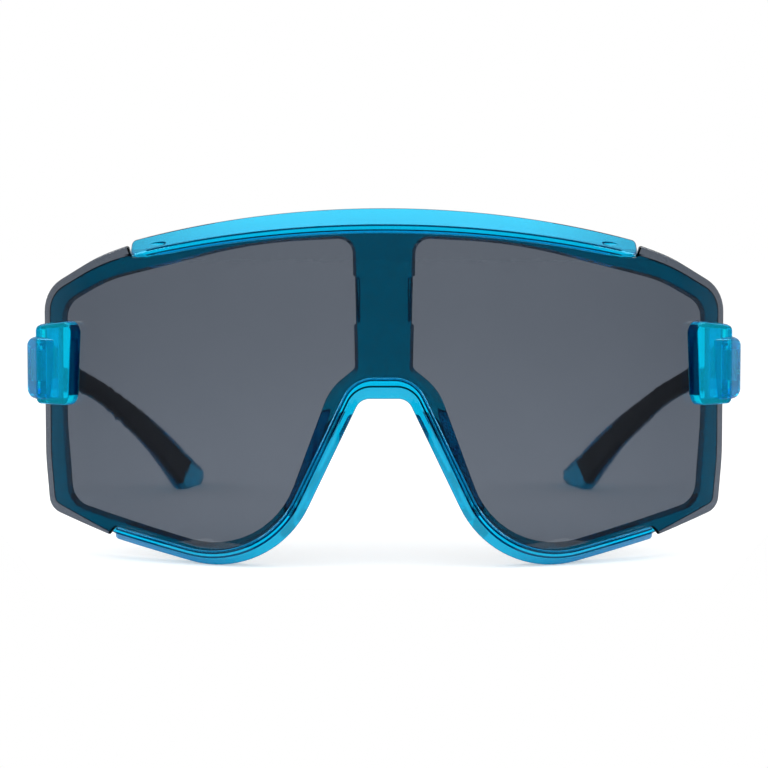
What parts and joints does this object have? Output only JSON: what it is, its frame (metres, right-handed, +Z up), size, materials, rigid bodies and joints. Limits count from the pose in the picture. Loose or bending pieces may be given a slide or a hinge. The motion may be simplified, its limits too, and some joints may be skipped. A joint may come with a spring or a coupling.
{
  "type": "shield sunglasses",
  "caption": "Wrap shield sunglasses with one smoke lens in a clear blue front, clip end pieces and folding lined temples.",
  "frame": {"origin": "middle of the box of the open glasses, on the surface that they stand on", "axes": "+X to the wearer's left, +Y back along the temples, +Z up"},
  "size_m": [0.152, 0.1578, 0.0727],
  "materials": {
    "front_plastic": "clear blue tinted polycarbonate, polished",
    "smoke_lens": "smoke grey tinted polycarbonate, polished",
    "end_plastic": "clear blue tinted polycarbonate, polished",
    "temple_plastic": "clear blue tinted polycarbonate, polished",
    "grip_rubber": "matt black soft-touch rubber",
    "hinge_metal": "satin nickel silver",
    "rivet_metal": "satin",
    "screw_metal": "polished steel"
  },
  "bodies": {
    "front": {"frame_front": "front_plastic", "shield_lens": "smoke_lens", "end_piece_left": "end_plastic", "end_piece_right": "end_plastic", "front_leaf_left": "hinge_metal", "front_leaf_right": "hinge_metal", "front_rivets_left": "rivet_metal", "front_rivets_right": "rivet_metal", "hinge_screw_left": "screw_metal", "hinge_screw_right": "screw_metal"},
    "left_temple": {"temple_leaf_left": "hinge_metal", "temple_rivets_left": "rivet_metal", "temple_arm_left": "temple_plastic", "temple_grip_left": "grip_rubber"},
    "right_temple": {"temple_leaf_right": "hinge_metal", "temple_rivets_right": "rivet_metal", "temple_arm_right": "temple_plastic", "temple_grip_right": "grip_rubber"}
  },
  "joints": [
    {"name": "left_temple_fold", "type": "hinge", "parent": "front", "child": "left_temple", "pos_m": [0.0697, -0.03364, 0.03919], "axis": [0, 0, 1], "range_deg": [0, 88]},
    {"name": "right_temple_fold", "type": "hinge", "parent": "front", "child": "right_temple", "pos_m": [-0.0697, -0.03364, 0.03919], "axis": [0, 0, -1], "range_deg": [0, 80]}
  ]
}
